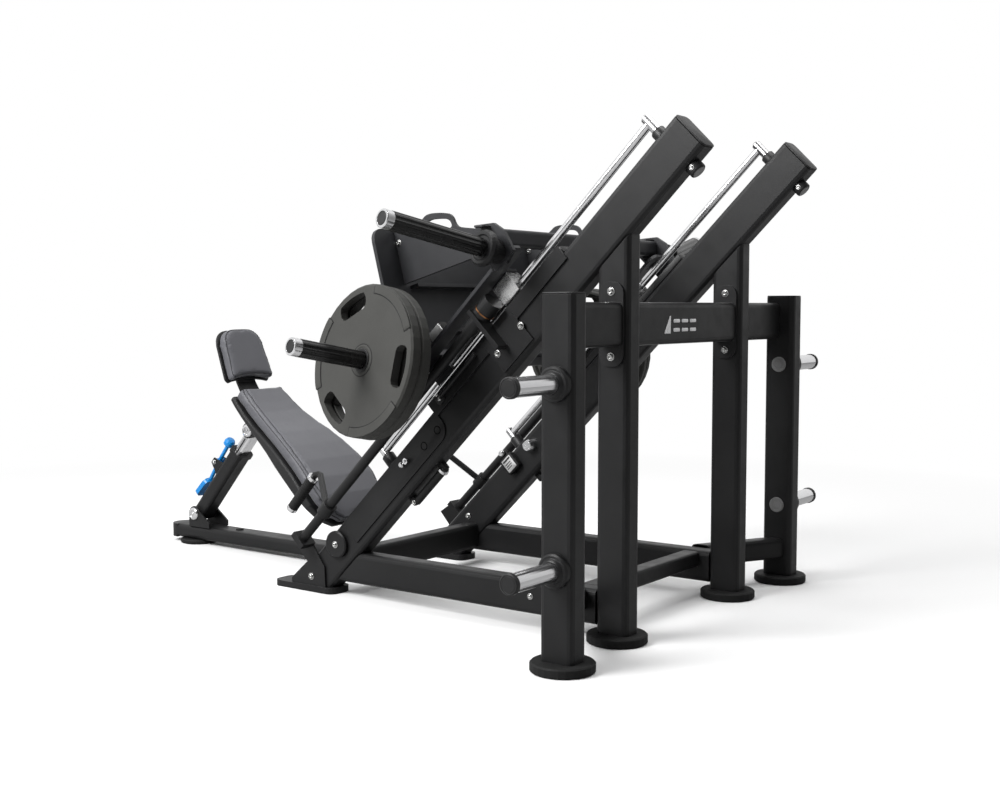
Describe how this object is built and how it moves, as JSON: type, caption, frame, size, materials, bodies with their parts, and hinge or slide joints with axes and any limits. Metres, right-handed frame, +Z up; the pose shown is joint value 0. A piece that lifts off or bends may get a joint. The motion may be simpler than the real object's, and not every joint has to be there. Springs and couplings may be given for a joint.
{
  "type": "leg press machine",
  "caption": "Plate-loaded incline leg press: a reclined seat faces a wide foot plate on a carriage that slides up twin angled rails, with safety stops and storage horns.",
  "frame": {"origin": "on the floor, at the centre of the machine's footprint", "axes": "+X is the seated user's right, +Y is the way the feet push, +Z is up"},
  "size_m": [1.816, 2.53, 1.4418],
  "materials": {
    "black_powder_coat": "fine textured black powder coat",
    "graphite_powder_coat": "fine textured dark grey powder coat",
    "chrome": "polished chrome plate",
    "black_rubber": "matte moulded rubber",
    "plate_urethane": "matte dark grey coating over iron",
    "machined_aluminium": "machined",
    "grey_vinyl": "fine grained upholstery vinyl",
    "black_plastic": "satin moulded",
    "blue_plastic": "satin moulded"
  },
  "bodies": {
    "frame": {"rail_beam_right": "black_powder_coat", "outer_upright_right": "black_powder_coat", "inner_upright_right": "black_powder_coat", "outer_foot_right": "black_rubber", "inner_foot_right": "black_rubber", "base_beam_right": "black_powder_coat", "side_tie_right": "black_powder_coat", "front_foot_right": "black_powder_coat", "storage_horn_upper_right": "chrome", "storage_horn_lower_right": "chrome", "guide_rod_right": "chrome", "stop_bracket_right": "black_powder_coat", "crossbar_right": "black_powder_coat", "rail_beam_left": "black_powder_coat", "outer_upright_left": "black_powder_coat", "inner_upright_left": "black_powder_coat", "outer_foot_left": "black_rubber", "inner_foot_left": "black_rubber", "base_beam_left": "black_powder_coat", "side_tie_left": "black_powder_coat", "front_foot_left": "black_powder_coat", "storage_horn_upper_left": "chrome", "storage_horn_lower_left": "chrome", "guide_rod_left": "chrome", "stop_bracket_left": "black_powder_coat", "crossbar_left": "black_powder_coat", "crossbar_center": "black_powder_coat", "rear_cross_tube": "black_powder_coat", "front_cross_tube": "black_powder_coat", "seat_rail": "black_powder_coat", "seat_foot": "black_rubber"},
    "carriage": {"carriage_side_right": "graphite_powder_coat", "upper_bearing_right": "machined_aluminium", "gusset_right": "graphite_powder_coat", "upper_horn_right": "black_powder_coat", "lower_horn_right": "black_powder_coat", "carriage_side_left": "graphite_powder_coat", "upper_bearing_left": "machined_aluminium", "gusset_left": "graphite_powder_coat", "upper_horn_left": "black_powder_coat", "lower_horn_left": "black_powder_coat", "upper_cross_tube": "graphite_powder_coat", "lower_cross_tube": "graphite_powder_coat", "footplate": "graphite_powder_coat"},
    "inner_plate_right": {"weight_plate_inner_right": "plate_urethane"},
    "outer_plate_right": {"weight_plate_outer_right": "plate_urethane"},
    "safety_stop_right": {"safety_shaft_right": "black_powder_coat", "hand_lever_right": "black_powder_coat"},
    "pull_pin_right": {"stop_pin_right": "chrome"},
    "inner_plate_left": {"weight_plate_inner_left": "plate_urethane"},
    "outer_plate_left": {"weight_plate_outer_left": "plate_urethane"},
    "safety_stop_left": {"safety_shaft_left": "black_powder_coat", "hand_lever_left": "black_powder_coat"},
    "pull_pin_left": {"stop_pin_left": "chrome"},
    "seat": {"seat_pad": "grey_vinyl", "seat_shell": "black_plastic", "headrest_pad": "grey_vinyl"},
    "strut_outer": {"strut_outer": "black_powder_coat"},
    "strut_inner": {"strut_inner": "chrome"},
    "adjuster": {"adjuster_lever": "blue_plastic"}
  },
  "joints": [
    {"name": "carriage_slide", "type": "slide", "parent": "frame", "child": "carriage", "axis": [0, 0.7071, 0.7071], "range_m": [0, 0.56]},
    {"name": "inner_plate_off_right", "type": "slide", "parent": "carriage", "child": "inner_plate_right", "axis": [0.9659, -0.183, 0.183], "range_m": [0, 0.34]},
    {"name": "outer_plate_off_right", "type": "slide", "parent": "inner_plate_right", "child": "outer_plate_right", "axis": [0.9659, -0.183, 0.183], "range_m": [0, 0.3]},
    {"name": "safety_stop_turn_right", "type": "hinge", "parent": "frame", "child": "safety_stop_right", "pos_m": [0.4115, 0.35497, 0.67953], "axis": [0, 0.7071, 0.7071], "range_deg": [0, 75]},
    {"name": "pull_pin_right", "type": "slide", "parent": "frame", "child": "pull_pin_right", "axis": [-1, 0, 0], "range_m": [0, 0.03], "stiffness_N_per_m": 600},
    {"name": "inner_plate_off_left", "type": "slide", "parent": "carriage", "child": "inner_plate_left", "axis": [-0.9659, -0.183, 0.183], "range_m": [0, 0.34]},
    {"name": "outer_plate_off_left", "type": "slide", "parent": "inner_plate_left", "child": "outer_plate_left", "axis": [-0.9659, -0.183, 0.183], "range_m": [0, 0.3]},
    {"name": "safety_stop_turn_left", "type": "hinge", "parent": "frame", "child": "safety_stop_left", "pos_m": [-0.4115, 0.35497, 0.67953], "axis": [0, -0.7071, -0.7071], "range_deg": [0, 75]},
    {"name": "pull_pin_left", "type": "slide", "parent": "frame", "child": "pull_pin_left", "axis": [1, 0, 0], "range_m": [0, 0.03], "stiffness_N_per_m": 600},
    {"name": "backrest_recline", "type": "hinge", "parent": "frame", "child": "seat", "pos_m": [0, -0.2775, 0.108], "axis": [1, 0, 0], "range_deg": [-8, 6]},
    {"name": "strut_swing", "type": "hinge", "parent": "frame", "child": "strut_outer", "pos_m": [0, -1.1055, 0.119], "axis": [1, 0, 0], "range_deg": [-1.1, 1.4]},
    {"name": "strut_extend", "type": "slide", "parent": "strut_outer", "child": "strut_inner", "axis": [0, 0.6573, 0.7537], "range_m": [-0.068, 0.09]},
    {"name": "adjuster_squeeze", "type": "hinge", "parent": "strut_outer", "child": "adjuster", "pos_m": [0, -1.0125, 0.328], "axis": [1, 0, 0], "range_deg": [0, 5], "stiffness_Nm_per_rad": 3}
  ],
  "couplings": [
    {"joint": "strut_swing", "follows": "backrest_recline", "ratio": -0.16},
    {"joint": "strut_extend", "follows": "backrest_recline", "m_per_rad": -0.63}
  ]
}
